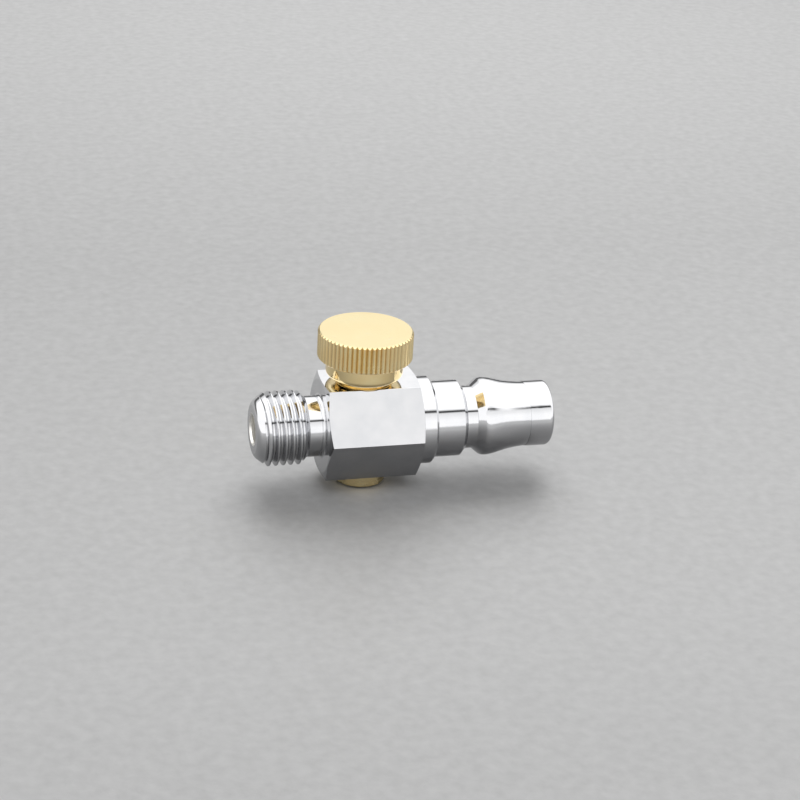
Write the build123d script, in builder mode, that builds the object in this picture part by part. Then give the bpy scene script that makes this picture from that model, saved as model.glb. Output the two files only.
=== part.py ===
from build123d import *

import math
import os

# Needle valve: a hexagon body with a threaded inlet, a quick-coupling
# plug as outlet, and a knurled knob that screws a needle into a seat.
# Millimetres. The flow axis is X, from the inlet (-X) to the outlet (+X).
# The spindle axis is Z, knob up. The origin is where the two axes cross.

# ---- driving dimensions -------------------------------------------------
hex_flats = 17.0  # spanner size
hex_left = -7.62
hex_right = 9.45
hex_face_r = 8.25  # circle that the turned chamfer leaves on each end face
hex_chamfer_angle = 15
hex_edge_r = 0.12

thread_pitch = 25.4 / 19  # G1/4, ISO 228-1
thread_crest_r = 13.157 / 2
thread_root_r = 11.445 / 2
thread_start = -17.4
thread_end = -10.6
thread_runout = 1.0  # chamfer at the end of the thread
groove_top_x = -17.1  # where the groove crosses the top side
neck_r = 5.4
neck_fillet_r = 0.45
nose_x = -19.6
nose_face_r = 4.3
nose_cone_x = -18.9  # the nose is rounded up to here, then conical
nose_cone_r = 5.37
inlet_r = 2.5
inlet_countersink = 0.35

socket_r = 5.0  # for the coupling plug's shank, M10
socket_x = 6.4
gasket_t = 0.5

collar_1_r = 7.8
collar_1_end = 12.2
collar_2_r = 6.8
collar_2_end = 17.9
plug_neck_r = 5.6
plug_neck_end = 19.85
ridge_x = 22.25  # the coupling's balls lock behind this ridge
ridge_r = 6.98
waist_x = 29.7
waist_r = 5.75
plug_tip_x = 32.4
plug_tip_r = 5.86
plug_tip_round = 0.8
plug_end_x = 34.0
outlet_r = 3.6
plug_bore_r = 2.5

stem_hole_r = 4.5  # lower end of the cross bore
cage_bore_r = 4.75
bonnet_thread_r = 5.0  # M10x0.5
cage_step_z = -6.3
bonnet_step_z = 6.0
sliding_gap = 0.05  # radial clearance of every sliding or running fit

seat_z = 0.4
seat_r = 1.1
cage_bottom_z = -10.5
cage_top_z = 4.4
cage_edge_r = 0.2
chamber_r = 3.3
inlet_port_z = -1.5
inlet_port_r = 1.0
outlet_port_z = 2.0
outlet_port_r = 1.3

groove_r = 4.1  # floor of the three static O-ring grooves
groove_w = 0.8
oring_squeeze = 0.01  # drawn gap between an O-ring and its walls

lead = 0.8  # M5 operating thread: rise of the needle in one turn
turns_open = 1.0  # the knob stands one turn open
turns_left = 2.0  # turns from there to the stop
needle_half_angle = 20
needle_gap = 0.02  # drawn gap at the seat when closed
piston_r = 3.0
piston_z = 4.6
piston_top_z = 6.9
spindle_groove_r = 2.35
spindle_groove_z = 5.15
spindle_groove_w = 1.3
spindle_thread_r = 2.5
spindle_press_r = 2.0

neck_top_z = 11.3
bonnet_neck_r = 4.0

knob_under_z = 9.4
knob_head_z = 12.8
knob_top_z = 17.8
knob_r = 8.35
hub_r = 6.8
hub_edge_r = 1.0
hub_recess_r = 4.4
knurl_count = 60
knurl_depth = 0.32
knurl_edge = 0.25
knob_top_edge = 0.3

hex_half = hex_flats / 2
drill_slope = math.tan(math.radians(31))  # cone left by a drill, depth per radius
flow = Plane.XY  # profiles turned about X: local x is X, local y is the radius
stem = Plane.XZ  # profiles turned about Z: local x is the radius, local y is Z
across = Plane.YZ  # sections along X


def export(piece, name):
    """Label a finished piece and write its STEP file."""
    piece.part.label = name
    export_step(piece.part, f"parts/{name}.step")


def oring(name, ring_z, inner_r, outer_r):
    """A round-section ring between two radii, flat in the XY plane."""
    section_r = (outer_r - inner_r) / 2 - oring_squeeze
    with BuildPart() as ring:
        with BuildSketch(stem):
            with Locations(((inner_r + outer_r) / 2, ring_z)):
                Circle(section_r)
        revolve(axis=Axis.Z)
    export(ring, name)


def thread_groove(pitch, root_r, crest_r, start_x, end_x, top_x):
    """The groove of a right-hand 55 degree thread on X, as a solid to cut away.

    The groove widens near the crests, so that they are eased, and it crosses
    the +Z side at the station top_x.
    """
    root_half = pitch * 0.08
    ease_depth = 0.07
    above = 0.03  # how far the cutter stands out of the blank
    flank_depth = crest_r - root_r - ease_depth
    flank_half = root_half + flank_depth * math.tan(math.radians(27.5))
    outer_depth = crest_r - root_r + above
    outer_half = flank_half + (ease_depth + above) * math.tan(math.radians(42))
    with BuildPart() as groove:
        with BuildLine() as path:
            Helix(pitch, end_x - start_x, root_r, center=(start_x, 0, 0), direction=(1, 0, 0))
        start = path.line @ 0
        outward = (start - Vector(start_x, 0, 0)).normalized()
        with BuildSketch(Plane(origin=start, x_dir=outward, z_dir=path.line % 0)):
            with BuildLine():
                Polyline(
                    (0, -root_half),
                    (flank_depth, -flank_half),
                    (outer_depth, -outer_half),
                    (outer_depth, outer_half),
                    (flank_depth, flank_half),
                    (0, root_half),
                    close=True,
                )
            make_face()
        sweep(path=path.line, is_frenet=True)
    return groove.part.rotate(Axis.X, 360 * (start_x - top_x) / pitch)


os.makedirs("parts", exist_ok=True)

# ---- valve body ---------------------------------------------------------
corner_r = hex_half / math.cos(math.radians(30))
chamfer_reach = corner_r + 0.5 - hex_face_r
chamfer_x = chamfer_reach * math.tan(math.radians(hex_chamfer_angle))
relief = 0.3  # how far the neck's cutter reaches outside the crests
inlet_bore_end = -7.6

with BuildPart() as hexagon:
    with BuildSketch(across.offset(hex_left)):
        RegularPolygon(hex_half, 6, major_radius=False)
    extrude(amount=hex_right - hex_left)
    fillet(hexagon.edges().filter_by(Axis.X), hex_edge_r)
    # turned chamfer on both ends
    with BuildSketch(flow):
        with BuildLine():
            Polyline(
                (hex_left, 0),
                (hex_left, hex_face_r),
                (hex_left + chamfer_x, hex_face_r + chamfer_reach),
                (hex_right - chamfer_x, hex_face_r + chamfer_reach),
                (hex_right, hex_face_r),
                (hex_right, 0),
                close=True,
            )
        make_face()
    revolve(axis=Axis.X, mode=Mode.INTERSECT)

with BuildPart() as valve_body:
    # straight blank with a conical nose, then the thread groove
    with BuildSketch(flow):
        with BuildLine():
            Polyline(
                (nose_x, nose_face_r),
                (nose_x, 0),
                (hex_left, 0),
                (hex_left, thread_crest_r),
                (thread_start, thread_crest_r),
                (nose_cone_x, nose_cone_r),
            )
            ThreePointArc((nose_cone_x, nose_cone_r), (-19.35, 4.9), (nose_x, nose_face_r))
        make_face()
    revolve(axis=Axis.X)
    add(
        thread_groove(
            thread_pitch, thread_root_r, thread_crest_r, nose_x - 0.3, thread_end + 0.9, groove_top_x
        ),
        mode=Mode.SUBTRACT,
    )
    # neck and runout turned behind the thread, with a fillet against the hexagon
    with BuildSketch(flow):
        with BuildLine():
            Polyline(
                (hex_left, neck_r + neck_fillet_r),
                (hex_left, thread_crest_r + relief),
                (thread_end - thread_runout - relief, thread_crest_r + relief),
                (thread_end - thread_runout, thread_crest_r),
                (thread_end + 0.2, neck_r),
                (hex_left - neck_fillet_r, neck_r),
            )
            RadiusArc(
                (hex_left - neck_fillet_r, neck_r),
                (hex_left, neck_r + neck_fillet_r),
                -neck_fillet_r,
            )
        make_face()
    revolve(axis=Axis.X, mode=Mode.SUBTRACT)
    add(hexagon)
    # inlet bore with a countersunk mouth, then the offset port to the cage
    with BuildSketch(flow):
        with BuildLine():
            Polyline(
                (nose_x, 0),
                (nose_x, inlet_r + inlet_countersink),
                (nose_x + inlet_countersink, inlet_r),
                (inlet_bore_end, inlet_r),
                (inlet_bore_end + inlet_r * drill_slope, 0),
                close=True,
            )
        make_face()
    revolve(axis=Axis.X, mode=Mode.SUBTRACT)
    with BuildSketch(across.offset(inlet_bore_end - 0.5)):
        with Locations((0, inlet_port_z)):
            Circle(inlet_port_r)
    extrude(amount=-inlet_bore_end, mode=Mode.SUBTRACT)
    # threaded socket for the coupling plug, and the port into it
    with BuildSketch(flow):
        with BuildLine():
            Polyline(
                (socket_x, 0),
                (socket_x, socket_r),
                (hex_right - 0.3, socket_r),
                (hex_right, socket_r + 0.3),
                (hex_right, 0),
                close=True,
            )
        make_face()
    revolve(axis=Axis.X, mode=Mode.SUBTRACT)
    with BuildSketch(across):
        with Locations((0, outlet_port_z)):
            Circle(outlet_port_r)
    extrude(amount=socket_x + 0.1, mode=Mode.SUBTRACT)
    # stepped cross bore for cage and bonnet
    with BuildSketch(stem):
        with BuildLine():
            Polyline(
                (0, -hex_half),
                (stem_hole_r + 0.25, -hex_half),
                (stem_hole_r, -hex_half + 0.25),
                (stem_hole_r, cage_step_z),
                (cage_bore_r, cage_step_z),
                (cage_bore_r, bonnet_step_z),
                (bonnet_thread_r, bonnet_step_z),
                (bonnet_thread_r, hex_half - 0.25),
                (bonnet_thread_r + 0.25, hex_half),
                (0, hex_half),
                close=True,
            )
        make_face()
    revolve(axis=Axis.Z, mode=Mode.SUBTRACT)
export(valve_body, "valve_body")

# ---- coupling plug ------------------------------------------------------
plug_start = socket_x + gasket_t
shoulder = Vector(ridge_x - 1.2, ridge_r - 0.32)

with BuildPart() as coupling_plug:
    with BuildSketch(flow):
        with BuildLine():
            Polyline(
                (plug_start, outlet_r),
                (plug_start, socket_r - 0.3),
                (plug_start + 0.3, socket_r),
                (hex_right, socket_r),
                (hex_right, collar_1_r - 0.15),
                (hex_right + 0.15, collar_1_r),
                (collar_1_end - 0.45, collar_1_r),
                (collar_1_end, collar_1_r - 0.45),
                (collar_1_end, collar_2_r),
                (collar_2_end - 0.7, collar_2_r),
                (collar_2_end, collar_2_r - 0.75),
                (collar_2_end, plug_neck_r),
                (plug_neck_end, plug_neck_r),
                shoulder,
            )
            Spline(
                shoulder,
                (ridge_x, ridge_r),
                (ridge_x + 1.25, ridge_r - 0.16),
                (waist_x - 2.4, waist_r + 0.23),
                (waist_x, waist_r),
                (plug_tip_x, plug_tip_r),
                tangents=(shoulder - Vector(plug_neck_end, plug_neck_r), (1, 0)),
            )
            Line((plug_tip_x, plug_tip_r), (plug_end_x - plug_tip_round, plug_tip_r))
            RadiusArc(
                (plug_end_x - plug_tip_round, plug_tip_r),
                (plug_end_x, plug_tip_r - plug_tip_round),
                plug_tip_round,
            )
            Polyline(
                (plug_end_x, plug_tip_r - plug_tip_round),
                (plug_end_x, outlet_r + 0.3),
                (plug_end_x - 0.3, outlet_r),
                (12.6, outlet_r),
                (12.0, plug_bore_r),
                (plug_start + 0.8, plug_bore_r),
                (plug_start + 0.8, outlet_r),
                (plug_start, outlet_r),
            )
        make_face()
    revolve(axis=Axis.X)
export(coupling_plug, "coupling_plug")

with BuildPart() as plug_gasket:
    with BuildSketch(across.offset(socket_x)):
        Circle(socket_r - 0.1)
        Circle(outlet_r + 0.1, mode=Mode.SUBTRACT)
    extrude(amount=gasket_t)
export(plug_gasket, "plug_gasket")

# ---- seat cage ----------------------------------------------------------
cage_r = cage_bore_r - sliding_gap
cage_stem_r = stem_hole_r - sliding_gap
lower_groove_z = -5.15
upper_groove_z = 0.05

with BuildPart() as seat_cage:
    with BuildSketch(stem):
        with BuildLine():
            Polyline(
                (0, cage_bottom_z),
                (cage_stem_r - cage_edge_r, cage_bottom_z),
            )
            RadiusArc(
                (cage_stem_r - cage_edge_r, cage_bottom_z),
                (cage_stem_r, cage_bottom_z + cage_edge_r),
                -cage_edge_r,
            )
            Polyline(
                (cage_stem_r, cage_bottom_z + cage_edge_r),
                (cage_stem_r, cage_step_z),
                (cage_r, cage_step_z),
                (cage_r, cage_top_z),
                (chamber_r, cage_top_z),
                (chamber_r, seat_z),
                (seat_r, seat_z),
                (seat_r, inlet_port_z - inlet_port_r),
                (0, inlet_port_z - inlet_port_r - seat_r * drill_slope),
                (0, cage_bottom_z),
            )
        make_face()
        # O-ring grooves, then the ring channels that feed the ports
        with Locations((cage_r, lower_groove_z), (cage_r, upper_groove_z)):
            Rectangle(2 * (cage_r - groove_r), groove_w, mode=Mode.SUBTRACT)
        with Locations((cage_r, inlet_port_z)):
            Rectangle(2 * (cage_r - groove_r), 2 * inlet_port_r - 0.2, mode=Mode.SUBTRACT)
        with Locations((cage_r, outlet_port_z)):
            Rectangle(2 * (cage_r - groove_r), 2 * outlet_port_r - 0.2, mode=Mode.SUBTRACT)
    revolve(axis=Axis.Z)
    for port_z, port_r in ((inlet_port_z, 0.75), (outlet_port_z, 1.0)):
        with BuildSketch(across.offset(-cage_bore_r), stem.offset(-cage_bore_r)):
            with Locations((0, port_z)):
                Circle(port_r)
        extrude(amount=2 * cage_bore_r, mode=Mode.SUBTRACT)
    # key socket that holds the cage in line while the bonnet is tightened
    with BuildSketch(Plane.XY.offset(cage_bottom_z)):
        RegularPolygon(1.5, 6, major_radius=False)
    extrude(amount=1.4, mode=Mode.SUBTRACT)
export(seat_cage, "seat_cage")
oring("cage_oring_lower", lower_groove_z, groove_r, cage_bore_r)
oring("cage_oring_upper", upper_groove_z, groove_r, cage_bore_r)

# ---- bonnet -------------------------------------------------------------
bonnet_groove_z = 5.3
stop_z = piston_top_z + turns_left * lead + 0.02

with BuildPart() as bonnet:
    with BuildSketch(stem):
        with BuildLine():
            Polyline(
                (piston_r + sliding_gap, cage_top_z),
                (cage_r, cage_top_z),
                (cage_r, bonnet_step_z + 0.05),
                (bonnet_thread_r, bonnet_step_z + 0.05),
                (bonnet_thread_r, hex_half),
                (bonnet_neck_r, hex_half),
                (bonnet_neck_r, neck_top_z - 0.3),
                (bonnet_neck_r - 0.3, neck_top_z),
                (spindle_thread_r + sliding_gap, neck_top_z),
                (spindle_thread_r + sliding_gap, stop_z),
                (piston_r + sliding_gap, stop_z),
                close=True,
            )
        make_face()
        with Locations((cage_r, bonnet_groove_z)):
            Rectangle(2 * (cage_r - groove_r), groove_w, mode=Mode.SUBTRACT)
    revolve(axis=Axis.Z)
    # slots for a pin spanner across the neck
    with Locations((0, 0, neck_top_z)):
        Box(2 * bonnet_neck_r + 1, 1.2, 2.0, mode=Mode.SUBTRACT)
export(bonnet, "bonnet")
oring("bonnet_oring", bonnet_groove_z, groove_r, cage_bore_r)

# ---- spindle ------------------------------------------------------------
needle_slope = math.tan(math.radians(needle_half_angle))
contact_z = seat_z + turns_open * lead
needle_tip_r = 0.2
needle_neck_r = 1.7
needle_tip_z = contact_z - (seat_r - needle_gap - needle_tip_r) / needle_slope
needle_base_z = contact_z + (needle_neck_r - seat_r + needle_gap) / needle_slope
thread_bottom_z = 7.7
thread_top_z = 12.5
press_top_z = 16.2

with BuildPart() as spindle:
    with BuildSketch(stem):
        with BuildLine():
            Polyline(
                (0, needle_tip_z),
                (needle_tip_r, needle_tip_z),
                (needle_neck_r, needle_base_z),
                (needle_neck_r, piston_z),
                (piston_r - 0.15, piston_z),
                (piston_r, piston_z + 0.15),
                (piston_r, piston_top_z),
                (spindle_press_r, piston_top_z),
                (spindle_press_r, thread_bottom_z),
                (spindle_thread_r, thread_bottom_z + 0.4),
                (spindle_thread_r, thread_top_z - 0.4),
                (spindle_press_r, thread_top_z),
                (spindle_press_r, press_top_z - 0.3),
                (spindle_press_r - 0.3, press_top_z),
                (0, press_top_z),
                close=True,
            )
        make_face()
        with Locations((piston_r, spindle_groove_z + spindle_groove_w / 2)):
            Rectangle(2 * (piston_r - spindle_groove_r), spindle_groove_w, mode=Mode.SUBTRACT)
    revolve(axis=Axis.Z)
export(spindle, "spindle")

piston_bore_r = piston_r + sliding_gap
oring("spindle_oring", spindle_groove_z + 0.4, spindle_groove_r, piston_bore_r)

with BuildPart() as spindle_backup_ring:
    with BuildSketch(Plane.XY.offset(spindle_groove_z + 0.82)):
        Circle(piston_bore_r - 0.02)
        Circle(spindle_groove_r + 0.02, mode=Mode.SUBTRACT)
    extrude(amount=0.45)
export(spindle_backup_ring, "spindle_backup_ring")

# ---- knob ---------------------------------------------------------------
with BuildPart() as knob:
    # knurled head: a disc with V grooves round its rim
    with BuildSketch(Plane.XY.offset(knob_head_z)):
        Circle(knob_r)
        with PolarLocations(knob_r + 0.02, knurl_count):
            groove_half = math.pi * knob_r / knurl_count * 0.8
            Polygon((0, -groove_half), (0, groove_half), (-knurl_depth, 0), align=None, mode=Mode.SUBTRACT)
    extrude(amount=knob_top_z - knob_head_z)
    with BuildSketch(stem):
        with BuildLine():
            Polyline(
                (0, knob_head_z),
                (knob_r - knurl_edge, knob_head_z),
                (knob_r, knob_head_z + knurl_edge),
                (knob_r, knob_top_z - knob_top_edge),
                (knob_r - knob_top_edge, knob_top_z),
                (0, knob_top_z),
                close=True,
            )
        make_face()
    revolve(axis=Axis.Z, mode=Mode.INTERSECT)
    with BuildSketch(Plane.XY.offset(knob_under_z)):
        Circle(hub_r)
    extrude(amount=knob_head_z - knob_under_z + 0.1)
    with BuildSketch(Plane.XY.offset(knob_under_z)):
        Circle(hub_recess_r)
    extrude(amount=knob_head_z - knob_under_z, mode=Mode.SUBTRACT)
    with BuildSketch(Plane.XY.offset(knob_head_z)):
        Circle(spindle_press_r)
    extrude(amount=press_top_z + 0.1 - knob_head_z, mode=Mode.SUBTRACT)
    rim = knob.edges().filter_by(GeomType.CIRCLE).group_by(Axis.Z)[0].sort_by(SortBy.RADIUS)
    fillet(rim[-1], hub_edge_r)
    chamfer(rim[0], 0.25)
export(knob, "knob")
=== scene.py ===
import math

import bpy
from mathutils import Matrix, Vector


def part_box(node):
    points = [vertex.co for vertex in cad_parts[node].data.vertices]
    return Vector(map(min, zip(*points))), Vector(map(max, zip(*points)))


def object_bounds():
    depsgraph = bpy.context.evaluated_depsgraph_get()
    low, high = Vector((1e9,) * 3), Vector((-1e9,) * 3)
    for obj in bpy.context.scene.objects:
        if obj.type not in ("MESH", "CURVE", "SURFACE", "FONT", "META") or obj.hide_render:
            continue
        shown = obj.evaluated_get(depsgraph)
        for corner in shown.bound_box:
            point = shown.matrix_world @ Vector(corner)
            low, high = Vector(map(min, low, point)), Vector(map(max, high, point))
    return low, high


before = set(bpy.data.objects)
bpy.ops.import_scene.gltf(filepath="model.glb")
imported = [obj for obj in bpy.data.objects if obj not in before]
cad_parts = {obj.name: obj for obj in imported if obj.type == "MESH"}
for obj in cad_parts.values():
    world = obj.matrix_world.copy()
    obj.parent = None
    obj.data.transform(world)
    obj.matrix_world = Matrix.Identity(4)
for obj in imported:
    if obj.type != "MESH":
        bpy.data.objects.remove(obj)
cad_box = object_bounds()
MM = 0.001

# ---- camera, at the product view -----------------------------------------
CAMERA_AZIMUTH = math.radians(-15.7)
CAMERA_ELEVATION = math.radians(24.15)
CAMERA_ROLL = math.radians(3.21)
CAMERA_DISTANCE = 420.6 * MM
CAMERA_AIM = Vector((6.8, 0, 4.0)) * MM
FIELD_OF_VIEW = math.radians(19.04)


def add_camera():
    """The camera stands round the aim point, turned a little about its own axis."""
    flat = math.cos(CAMERA_ELEVATION)
    back = Vector((
        math.sin(CAMERA_AZIMUTH) * flat,
        -math.cos(CAMERA_AZIMUTH) * flat,
        math.sin(CAMERA_ELEVATION),
    ))
    right = Vector((0, 0, 1)).cross(back).normalized()
    up = back.cross(right)
    level = Matrix((right, up, back)).transposed()
    data = bpy.data.cameras.new("camera")
    data.sensor_width = 36
    data.angle = FIELD_OF_VIEW
    data.clip_start = 0.01
    camera = bpy.data.objects.new("camera", data)
    camera.matrix_world = Matrix.LocRotScale(
        CAMERA_AIM + back * CAMERA_DISTANCE,
        (level @ Matrix.Rotation(CAMERA_ROLL, 3, "Z")).to_quaternion(),
        None,
    )
    bpy.context.collection.objects.link(camera)
    bpy.context.scene.camera = camera


# ---- small node helpers ---------------------------------------------------
class Shader:
    """A node tree with short calls to add nodes and link them."""

    def __init__(self, tree):
        self.tree = tree
        tree.nodes.clear()

    def add(self, kind, **settings):
        node = self.tree.nodes.new(kind)
        for key, value in settings.items():
            setattr(node, key, value)
        return node

    def feed(self, socket, source):
        """Link an output, or set a plain value."""
        if isinstance(source, bpy.types.NodeSocket):
            self.tree.links.new(source, socket)
        elif source is not None:
            socket.default_value = source

    def math(self, operation, a, b=None, c=None, clamp=False):
        node = self.add("ShaderNodeMath", operation=operation, use_clamp=clamp)
        for socket, source in zip(node.inputs, (a, b, c)):
            self.feed(socket, source)
        return node.outputs[0]

    def split(self, vector):
        node = self.add("ShaderNodeSeparateXYZ")
        self.feed(node.inputs[0], vector)
        return node.outputs

    def radius(self, a, b):
        """Distance from an axis, from the two coordinates across it."""
        squares = (self.math("MULTIPLY", side, side) for side in (a, b))
        return self.math("SQRT", self.math("ADD", *squares))

    def noise(self, where, scale, detail=3.0, roughness=0.5):
        node = self.add("ShaderNodeTexNoise")
        self.feed(node.inputs["Vector"], where)
        node.inputs["Scale"].default_value = scale
        node.inputs["Detail"].default_value = detail
        node.inputs["Roughness"].default_value = roughness
        return node.outputs[0]

    def stretch(self, where, scale):
        node = self.add("ShaderNodeMapping")
        self.feed(node.inputs["Vector"], where)
        node.inputs["Scale"].default_value = scale
        return node.outputs[0]

    def remap(self, value, low, high, to_low, to_high):
        node = self.add("ShaderNodeMapRange")
        for socket, source in zip(node.inputs, (value, low, high, to_low, to_high)):
            self.feed(socket, source)
        return node.outputs[0]

    def mix(self, factor, a, b):
        node = self.add("ShaderNodeMix", data_type="RGBA")
        self.feed(node.inputs[0], factor)
        self.feed(node.inputs[6], a)
        self.feed(node.inputs[7], b)
        return node.outputs[2]

    def ramp(self, value, stops):
        node = self.add("ShaderNodeValToRGB")
        self.feed(node.inputs[0], value)
        elements = node.color_ramp.elements
        while len(elements) > 1:
            elements.remove(elements[-1])
        elements[0].position, elements[0].color = stops[0]
        for position, colour in stops[1:]:
            elements.new(position).color = colour
        return node.outputs[0]

    def bump(self, height, strength, distance, normal=None):
        node = self.add("ShaderNodeBump")
        node.inputs["Strength"].default_value = strength
        node.inputs["Distance"].default_value = distance
        self.feed(node.inputs["Height"], height)
        self.feed(node.inputs["Normal"], normal)
        return node.outputs[0]


def grey(value, alpha=1.0):
    return (value, value, value, alpha)


# ---- materials --------------------------------------------------------------
def new_material(name):
    material = bpy.data.materials.new(name)
    material.use_nodes = True
    shader = Shader(material.node_tree)
    output = shader.add("ShaderNodeOutputMaterial")
    surface = shader.add("ShaderNodeBsdfPrincipled")
    shader.feed(output.inputs["Surface"], surface.outputs[0])
    where = shader.add("ShaderNodeTexCoord").outputs["Object"]
    return material, shader, surface, where


def chrome(name, mouth=None):
    """Bright chrome plating: hazy in patches, with fine polishing hairlines.

    mouth is (x, radius) of a bore along X: left of x its wall is rougher and carries a painted highlight,
    a near-white colour.
    """
    material, shader, surface, where = new_material(name)
    haze = shader.noise(where, 260, detail=4)
    hairlines = shader.noise(shader.stretch(where, (0.15, 6, 6)), 900, detail=2)
    colour = shader.mix(shader.remap(haze, 0.35, 0.7, 0, 1), (0.64, 0.645, 0.66, 1), (0.70, 0.70, 0.71, 1))
    rough = shader.math("ADD", shader.remap(haze, 0.3, 0.75, 0.03, 0.08),
                        shader.remap(hairlines, 0.4, 0.8, 0, 0.03))
    if mouth:
        left_of, bore_r = mouth
        x, y, z = shader.split(where)
        radius = shader.radius(y, z)
        # painted highlight: the bore's mouth wall is painted near white, standing in for the light it
        # catches; its added roughness is real
        mouth_highlight = shader.math("MULTIPLY", shader.remap(radius, bore_r, bore_r + 0.1 * MM, 1, 0),
                             shader.remap(x, left_of, left_of + 1.5 * MM, 1, 0))
        colour = shader.mix(mouth_highlight, colour, (1.0, 0.98, 0.93, 1))
        rough = shader.math("ADD", rough, shader.math("MULTIPLY", mouth_highlight, 0.3))
    shader.feed(surface.inputs["Base Color"], colour)
    surface.inputs["Metallic"].default_value = 1
    shader.feed(surface.inputs["Roughness"], rough)
    ripple = shader.noise(where, 160, detail=1)
    normal = shader.bump(ripple, 0.05, 0.02 * MM)
    shader.feed(surface.inputs["Normal"], shader.bump(hairlines, 0.06, 0.01 * MM, normal))
    return material


def brass(name, dull, knurl=None):
    """Turned brass: rings round the Z axis, and tarnish.

    knurl is (groove radius, bottom, top) of a knurled head. Its grooves carry painted shade, its top a
    painted pale wash of the overhead light, and the hub below it is polished.
    """
    material, shader, surface, where = new_material(name)
    x, y, z = shader.split(where)
    radius = shader.radius(x, y)
    joined = shader.add("ShaderNodeCombineXYZ")
    shader.feed(joined.inputs[0], radius)
    shader.feed(joined.inputs[2], z)
    rings = shader.noise(joined.outputs[0], 9000, detail=2)
    cloud = shader.noise(where, 300, detail=4)
    colour = shader.mix(shader.remap(cloud, 0.3, 0.7, 0, 1), (0.97, 0.74, 0.37, 1), (1.0, 0.84, 0.48, 1))
    if knurl:
        groove_r, bottom, top = knurl
        # painted shade: the groove bottoms of the knurl, below the top, are painted a darker brass
        deep = shader.remap(radius, groove_r, groove_r + 0.25 * MM, 1, 0)
        below_top = shader.remap(z, top - 0.5 * MM, top - 0.35 * MM, 1, 0)
        on_rim = shader.remap(radius, groove_r - 0.2 * MM, groove_r - 0.1 * MM, 0, 1)
        groove_shade = shader.math("MULTIPLY", shader.math("MULTIPLY", deep, below_top), on_rim)
        colour = shader.mix(groove_shade, colour, (0.66, 0.47, 0.23, 1))
        # painted light: the top face is painted paler, standing in for the overhead light washing it out
        painted_top_light = shader.remap(z, top - 0.2 * MM, top - 0.1 * MM, 0, 0.7)
        colour = shader.mix(painted_top_light, colour, (0.70, 0.61, 0.36, 1))
    shader.feed(surface.inputs["Base Color"], colour)
    surface.inputs["Metallic"].default_value = 1
    rough = shader.math("ADD", shader.remap(cloud, 0.3, 0.7, dull, dull + 0.08),
                        shader.remap(rings, 0.35, 0.7, 0, 0.06))
    if knurl:
        polish = shader.remap(z, bottom - 0.1 * MM, bottom + 0.1 * MM, 0.3, 1)
        rough = shader.math("MULTIPLY", rough, polish)
        # turned faces shine along their rings
        surface.inputs["Anisotropic"].default_value = 0.6
        shader.feed(surface.inputs["Tangent"], shader.add(
            "ShaderNodeTangent", direction_type="RADIAL", axis="Z").outputs[0])
    shader.feed(surface.inputs["Roughness"], rough)
    shader.feed(surface.inputs["Normal"], shader.bump(rings, 0.25, 0.004 * MM))
    return material


def moulded(name, colour, other, rough, grain):
    """Rubber, plastic or fibre: one colour broken up by a fine grain."""
    material, shader, surface, where = new_material(name)
    speck = shader.noise(where, grain, detail=5)
    shader.feed(surface.inputs["Base Color"], shader.mix(speck, colour, other))
    shader.feed(surface.inputs["Roughness"], shader.remap(speck, 0.3, 0.7, rough - 0.08, rough + 0.08))
    shader.feed(surface.inputs["Normal"], shader.bump(speck, 0.3, 0.01 * MM))
    return material


def paint(node, material):
    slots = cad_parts[node].data.materials
    slots.clear()
    slots.append(material)


# ---- floor and light ---------------------------------------------------------
FLOOR_GAP = 0.3 * MM
FLOOR_HALF = 3.0
FLOOR_SHADE = (-0.06, 0.11, 0.62, 0.47)  # front and back y, and the grey at each
# grey of the painted shade that mirrors see on the paper near the part
FLOOR_SHADE_IN_MIRRORS = 0.28
CLOSE_BAND = (8 * MM, 60 * MM)  # distance from the flow axis
FLOOR_ROUGHNESS = 0.42
# painted light: how far in front of the part the floor paper glows, and how strongly
FRONT_GLOW_FROM = -0.10
FRONT_GLOW_TO = -0.45
FRONT_GLOW = 0.6
FILL_STRENGTH = 0.45
TENT_STRENGTH = 1.7
# levels of the tent from the front horizon over the top to the back horizon
FRONT = ((0.0, 0.86), (0.10, 0.86), (0.20, 0.70))
SEAM = ((0.212, 0.66), (0.222, 0.30), (0.232, 0.02), (0.245, 0.02), (0.256, 0.30), (0.272, 0.80))
TOP_AND_BACK = ((0.30, 1.0), (0.84, 1.0), (0.88, 0.66), (0.905, 0.60), (0.925, 0.10), (1.0, 0.08))
END_PANEL = 0.85
KEY_PLACE = Vector((0.10, 0.33, 0.40))
KEY_SIZE = (0.45, 0.40)
KEY_POWER = 1.75


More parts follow.
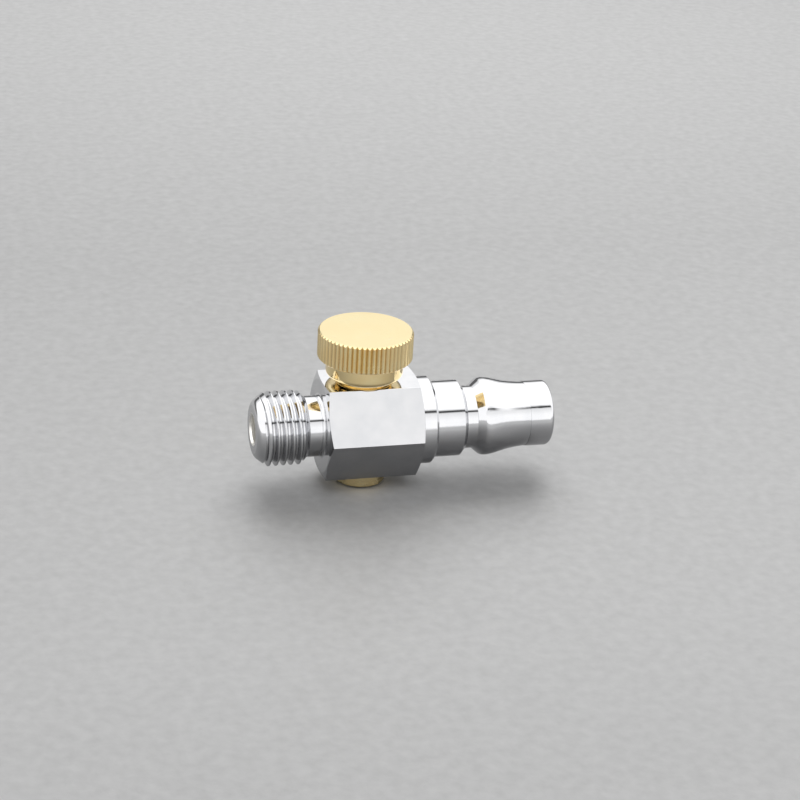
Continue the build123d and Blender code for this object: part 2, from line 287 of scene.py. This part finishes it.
def add_floor():
    low = cad_box[0].z - FLOOR_GAP
    mesh = bpy.data.meshes.new("floor")
    corners = [(-FLOOR_HALF, -FLOOR_HALF, low), (FLOOR_HALF, -FLOOR_HALF, low),
               (FLOOR_HALF, FLOOR_HALF, low), (-FLOOR_HALF, FLOOR_HALF, low)]
    mesh.from_pydata(corners, [], [(0, 1, 2, 3)])
    floor = bpy.data.objects.new("floor", mesh)
    bpy.context.collection.objects.link(floor)
    material, shader, surface, where = new_material("floor_paper")
    grain = shader.noise(where, 480, detail=4)
    y = shader.split(where)[1]
    # painted shade: the paper is a little darker towards the back
    level = shader.remap(y, *FLOOR_SHADE)
    paper = shader.math("ADD", level, shader.remap(grain, 0.2, 0.8, -0.05, 0.05))
    # painted shade for mirrors: glossy rays see the paper close to the part darker than the eye does,
    # standing in for the shadow under the part
    close = shader.remap(shader.math("ABSOLUTE", y), *CLOSE_BAND, 1, 0)
    shade_in_mirrors = shader.math("MULTIPLY", close, shader.add("ShaderNodeLightPath").outputs["Is Glossy Ray"])
    shader.feed(surface.inputs["Base Color"], shader.mix(shade_in_mirrors, paper, grey(FLOOR_SHADE_IN_MIRRORS)))
    surface.inputs["Roughness"].default_value = FLOOR_ROUGHNESS
    surface.inputs["Specular IOR Level"].default_value = 0.3
    shader.feed(surface.inputs["Normal"], shader.bump(grain, 0.35, 0.25 * MM))
    # painted light: the paper glows more strongly towards the front, standing in for stronger lighting
    # there
    surface.inputs["Emission Color"].default_value = grey(1.0)
    shader.feed(surface.inputs["Emission Strength"], shader.remap(
        y, FRONT_GLOW_FROM, FRONT_GLOW_TO, 0, FRONT_GLOW))
    mesh.materials.append(material)


def add_world():
    """A light tent: panels parallel to X, seen whole by mirrors, and a soft fill for matt surfaces."""
    world = bpy.data.worlds.new("light_tent")
    bpy.context.scene.world = world
    world.use_nodes = True
    shader = Shader(world.node_tree)
    output = shader.add("ShaderNodeOutputWorld")
    x, y, z = shader.split(shader.add("ShaderNodeTexCoord").outputs["Generated"])
    # 0 is the front horizon, 0.5 straight up and 1 the back horizon
    turn = shader.math("DIVIDE", shader.math("ARCTAN2", z, shader.math("MULTIPLY", y, -1.0)), math.pi)
    panels = shader.ramp(turn, [(place, grey(level)) for place, level in FRONT + SEAM + TOP_AND_BACK])
    plain = shader.ramp(turn, [(place, grey(level)) for place, level in FRONT + TOP_AND_BACK])
    sideways = shader.math("ABSOLUTE", x)
    tent = shader.mix(shader.remap(sideways, 0.40, 0.70, 0, 1), panels, plain)
    # the two ends of the tent
    tent = shader.mix(shader.remap(sideways, 0.80, 0.90, 0, 1), tent, grey(END_PANEL))
    fill = shader.add("ShaderNodeBackground")
    fill.inputs["Color"].default_value = grey(1.0)
    fill.inputs["Strength"].default_value = FILL_STRENGTH
    mirrored = shader.add("ShaderNodeBackground")
    shader.feed(mirrored.inputs["Color"], tent)
    mirrored.inputs["Strength"].default_value = TENT_STRENGTH
    either = shader.add("ShaderNodeMixShader")
    shader.feed(either.inputs[0], shader.add("ShaderNodeLightPath").outputs["Is Glossy Ray"])
    shader.feed(either.inputs[1], fill.outputs[0])
    shader.feed(either.inputs[2], mirrored.outputs[0])
    shader.feed(output.inputs[0], either.outputs[0])


def add_key():
    """A broad soft lamp above and behind the part, so that its shadow falls towards the camera."""
    data = bpy.data.lights.new("key", "AREA")
    data.shape = "RECTANGLE"
    data.size, data.size_y = KEY_SIZE
    data.energy = KEY_POWER
    key = bpy.data.objects.new("key", data)
    key.location = KEY_PLACE
    key.rotation_mode = "QUATERNION"
    key.rotation_quaternion = (-KEY_PLACE).to_track_quat("-Z", "Y")
    key.visible_glossy = False
    bpy.context.collection.objects.link(key)


# ---- build ---------------------------------------------------------------------
add_camera()
add_floor()
add_world()
add_key()
bpy.context.scene.view_settings.view_transform = "Standard"

MOUTH_X = -17.5 * MM
MOUTH_R = 2.9 * MM
KNURL_GROOVE_R = 8.03 * MM
HEAD_HEIGHT = 5.0 * MM
knob_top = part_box("knob")[1].z
CHROME = chrome("chrome_plating")
BODY_CHROME = chrome("chrome_body", mouth=(MOUTH_X, MOUTH_R))
BRASS = brass("brass_turned", 0.18)
KNOB_BRASS = brass("brass_knob", 0.16, knurl=(KNURL_GROOVE_R, knob_top - HEAD_HEIGHT, knob_top))
for node, material in {
    "valve_body": BODY_CHROME,
    "coupling_plug": CHROME,
    "seat_cage": BRASS,
    "bonnet": BRASS,
    "spindle": BRASS,
    "knob": KNOB_BRASS,
    "plug_gasket": moulded("fibre_gasket", (0.42, 0.10, 0.05, 1), (0.60, 0.20, 0.12, 1), 0.75, 2500),
    "cage_oring_lower": moulded("nitrile_rubber", (0.02, 0.02, 0.02, 1), (0.05, 0.05, 0.05, 1), 0.6, 3000),
    "spindle_backup_ring": moulded("white_ptfe", (0.80, 0.80, 0.78, 1), (0.88, 0.88, 0.86, 1), 0.5, 2000),
}.items():
    paint(node, material)
for node in ("cage_oring_upper", "bonnet_oring", "spindle_oring"):
    paint(node, bpy.data.materials["nitrile_rubber"])
